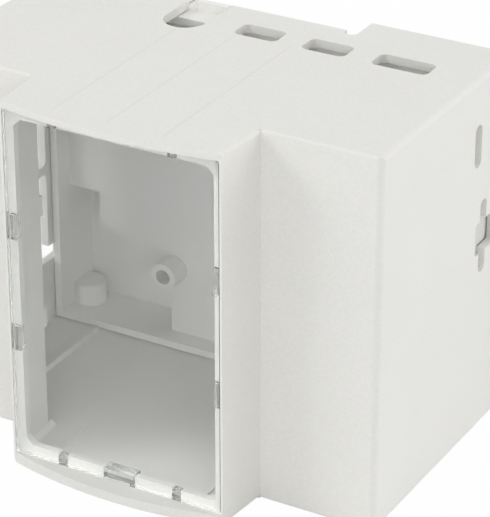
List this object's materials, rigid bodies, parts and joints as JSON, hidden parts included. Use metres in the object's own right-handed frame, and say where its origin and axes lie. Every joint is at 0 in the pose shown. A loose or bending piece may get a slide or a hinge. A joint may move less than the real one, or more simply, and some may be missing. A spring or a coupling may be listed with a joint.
{
  "type": "din rail enclosure",
  "caption": "Stepped plastic housing for a 35 mm rail, with a clear snap-in front window, a tray base and a sprung sliding rail foot.",
  "frame": {"origin": "middle of the side plate that it stands on, at the centre of the box round the whole part", "axes": "+X from the vented end wall to the end wall with the sliding foot, +Y from the front window to the rail, +Z along the rail"},
  "size_m": [0.09, 0.063, 0.071],
  "materials": {
    "housing_plastic": "fine matt texture",
    "base_plastic": "fine matt texture",
    "window_clear": "clear polished",
    "foot_plastic": "smooth matt"
  },
  "bodies": {
    "enclosure": {"housing": "housing_plastic", "base": "base_plastic"},
    "window": {"front_window": "window_clear"},
    "foot": {"rail_foot": "foot_plastic"}
  },
  "joints": [
    {"name": "foot_slide", "type": "slide", "parent": "enclosure", "child": "foot", "axis": [1, 0, 0], "range_m": [0, 0.003], "stiffness_N_per_m": 2500, "springref_m": -0.001},
    {"name": "window_pull", "type": "slide", "parent": "enclosure", "child": "window", "axis": [0, -1, 0], "range_m": [0, 0.02]}
  ]
}
